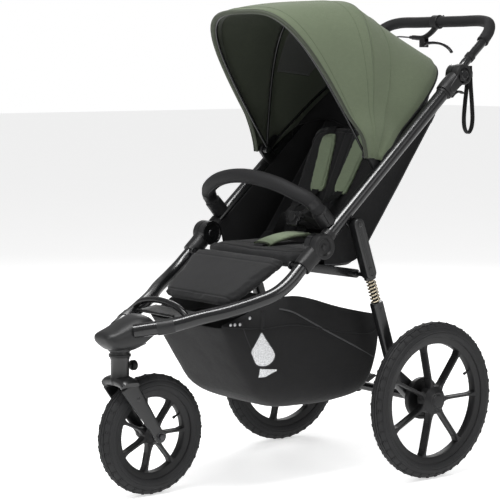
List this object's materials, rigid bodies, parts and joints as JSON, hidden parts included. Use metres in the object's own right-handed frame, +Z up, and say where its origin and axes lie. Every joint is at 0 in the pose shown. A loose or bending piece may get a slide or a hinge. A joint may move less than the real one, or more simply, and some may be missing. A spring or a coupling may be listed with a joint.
{
  "type": "baby stroller",
  "caption": "Folding three-wheel baby stroller with a swivelling front fork, sprung rear legs, padded seat with harness, hooded canopy, bumper bar, basket and tilting handlebar.",
  "frame": {"origin": "on the floor, under the middle of the stroller's box", "axes": "+Z up, the stroller faces -Y, +X is the seated child's left"},
  "size_m": [0.648, 1.14, 1.2128],
  "materials": {
    "frame": "semi-gloss black powder coat",
    "leg_casting": "semi-gloss black coated casting",
    "black_plastic": "fine-grained black moulding",
    "rim_plastic": "matt black moulding",
    "tyre": "dark grey tread rubber",
    "grip_foam": "soft black foam sleeve",
    "cable_cover": "black cable housing",
    "strap_webbing": "black woven webbing",
    "spring_metal": "champagne plated spring wire",
    "steel": "dark zinc plated",
    "charcoal_fabric": "charcoal woven polyester",
    "sage_fabric": "sage green woven polyester"
  },
  "bodies": {
    "lower_frame": {"front_bracket": "black_plastic", "lower_tube_left": "frame", "lower_tube_right": "frame", "footrest_bar": "frame", "footrest_tray": "black_plastic", "fold_hub_left": "black_plastic", "fold_hub_right": "black_plastic", "seat_pad": "charcoal_fabric", "basket": "charcoal_fabric", "crotch_pad": "sage_fabric", "harness_buckle": "black_plastic"},
    "fork": {"front_fork": "frame", "front_axle": "steel"},
    "swivel_lock": {"swivel_lock_knob": "black_plastic"},
    "front_wheel": {"front_tyre": "tyre", "front_rim": "rim_plastic"},
    "upper_frame": {"upper_tube_left": "frame", "upper_tube_right": "frame", "bumper_socket_left": "black_plastic", "bumper_socket_right": "black_plastic", "canopy_rear_bow": "frame", "handle_hinge_left": "black_plastic", "handle_hinge_right": "black_plastic", "back_sling": "charcoal_fabric", "canopy_pivot_left": "black_plastic", "canopy_pivot_right": "black_plastic", "canopy_rear_panel": "sage_fabric"},
    "canopy_mid": {"canopy_mid_bow": "frame", "canopy_front_panel": "sage_fabric"},
    "canopy_front": {"canopy_front_bow": "frame"},
    "handle": {"handlebar": "frame", "handle_grip": "grip_foam", "brake_clamp": "black_plastic", "brake_cable": "cable_cover", "wrist_strap": "strap_webbing"},
    "button_left": {"handle_button_left": "grip_foam"},
    "button_right": {"handle_button_right": "grip_foam"},
    "brake_hand_lever": {"brake_lever": "black_plastic"},
    "fold_release": {"fold_trigger": "black_plastic"},
    "backrest": {"backrest_pad": "charcoal_fabric", "shoulder_pad_left": "sage_fabric", "shoulder_pad_right": "sage_fabric"},
    "bumper": {"bumper_bar": "grip_foam"},
    "rear_legs": {"rear_leg_left": "black_plastic", "rear_leg_right": "black_plastic", "spring_left": "spring_metal", "spring_right": "spring_metal"},
    "rear_beam": {"lower_leg_left": "leg_casting", "lower_leg_right": "leg_casting", "rear_axle": "frame", "brake_drum_left": "black_plastic", "brake_drum_right": "black_plastic"},
    "parking_brake": {"brake_pedal": "black_plastic"},
    "wheel_left": {"tyre_left": "tyre", "rim_left": "rim_plastic"},
    "wheel_right": {"tyre_right": "tyre", "rim_right": "rim_plastic"},
    "links": {"link_left": "frame", "link_right": "frame"},
    "leg_support": {"leg_rest": "charcoal_fabric"}
  },
  "joints": [
    {"name": "fork_swivel", "type": "hinge", "parent": "lower_frame", "child": "fork", "pos_m": [0, -0.508, 0.3], "axis": [0, 0, 1], "continuous": true},
    {"name": "swivel_lock_slide", "type": "slide", "parent": "fork", "child": "swivel_lock", "axis": [0, 0, 1], "range_m": [0, 0.008]},
    {"name": "front_wheel_spin", "type": "hinge", "parent": "fork", "child": "front_wheel", "pos_m": [0, -0.419, 0.149], "axis": [1, 0, 0], "continuous": true},
    {"name": "frame_fold", "type": "hinge", "parent": "lower_frame", "child": "upper_frame", "pos_m": [0, -0.073, 0.607], "axis": [1, 0, 0], "range_deg": [-106, 0], "deforming": ["seat_pad", "crotch_pad", "basket", "back_sling"]},
    {"name": "leg_fold", "type": "hinge", "parent": "upper_frame", "child": "rear_legs", "pos_m": [0, 0.037, 0.656], "axis": [1, 0, 0], "range_deg": [0, 84.1]},
    {"name": "link_fold", "type": "hinge", "parent": "lower_frame", "child": "links", "pos_m": [0, -0.137, 0.563], "axis": [1, 0, 0], "range_deg": [-67.1, 0]},
    {"name": "suspension", "type": "slide", "parent": "rear_legs", "child": "rear_beam", "axis": [0, -0.3233, 0.9463], "range_m": [0, 0.018], "stiffness_N_per_m": 12000, "springref_m": -0.015, "deforming": ["spring_left", "spring_right"]},
    {"name": "wheel_left_spin", "type": "hinge", "parent": "rear_beam", "child": "wheel_left", "pos_m": [0.3, 0.243, 0.2], "axis": [1, 0, 0], "continuous": true},
    {"name": "wheel_right_spin", "type": "hinge", "parent": "rear_beam", "child": "wheel_right", "pos_m": [-0.3, 0.243, 0.2], "axis": [1, 0, 0], "continuous": true},
    {"name": "parking_brake_step", "type": "hinge", "parent": "rear_beam", "child": "parking_brake", "pos_m": [0, 0.243, 0.2], "axis": [1, 0, 0], "range_deg": [-25, 0]},
    {"name": "handle_tilt", "type": "hinge", "parent": "upper_frame", "child": "handle", "pos_m": [0, 0.39809, 1.02379], "axis": [1, 0, 0], "range_deg": [-45, 30], "deforming": ["wrist_strap"]},
    {"name": "handle_button_left_press", "type": "slide", "parent": "upper_frame", "child": "button_left", "axis": [-1, 0, 0], "range_m": [0, 0.003], "stiffness_N_per_m": 600, "springref_m": -0.002},
    {"name": "handle_button_right_press", "type": "slide", "parent": "upper_frame", "child": "button_right", "axis": [1, 0, 0], "range_m": [0, 0.003], "stiffness_N_per_m": 600, "springref_m": -0.002},
    {"name": "brake_squeeze", "type": "hinge", "parent": "handle", "child": "brake_hand_lever", "pos_m": [-0.052, 0.541, 1.104], "axis": [0, -1, 0], "range_deg": [0, 16], "stiffness_Nm_per_rad": 0.6, "springref_deg": -11.46},
    {"name": "fold_release_pull", "type": "slide", "parent": "upper_frame", "child": "fold_release", "axis": [0, 0.749, 0.6626], "range_m": [0, 0.009], "stiffness_N_per_m": 400, "springref_m": -0.004},
    {"name": "backrest_recline", "type": "hinge", "parent": "upper_frame", "child": "backrest", "pos_m": [0, 0.112, 0.606], "axis": [1, 0, 0], "range_deg": [-28, 6], "deforming": ["back_sling", "seat_pad", "backrest_pad", "shoulder_pad_left", "shoulder_pad_right"]},
    {"name": "canopy_mid_turn", "type": "hinge", "parent": "upper_frame", "child": "canopy_mid", "pos_m": [0, 0.108, 0.822], "axis": [1, 0, 0], "range_deg": [-25, 0], "deforming": ["canopy_front_panel", "canopy_rear_panel"]},
    {"name": "canopy_front_turn", "type": "hinge", "parent": "canopy_mid", "child": "canopy_front", "pos_m": [0, 0.108, 0.822], "axis": [1, 0, 0], "range_deg": [-25, 0]},
    {"name": "leg_rest_raise", "type": "hinge", "parent": "lower_frame", "child": "leg_support", "pos_m": [0, -0.131, 0.588], "axis": [1, 0, 0], "range_deg": [-32, 0]},
    {"name": "bumper_pull_out", "type": "slide", "parent": "upper_frame", "child": "bumper", "axis": [0, -0.6691, 0.7431], "range_m": [0, 0.03]}
  ],
  "couplings": [
    {"joint": "leg_fold", "follows": "frame_fold", "ratio": -0.764},
    {"joint": "link_fold", "follows": "frame_fold", "ratio": 0.609},
    {"joint": "canopy_front_turn", "follows": "canopy_mid_turn", "ratio": 1}
  ]
}
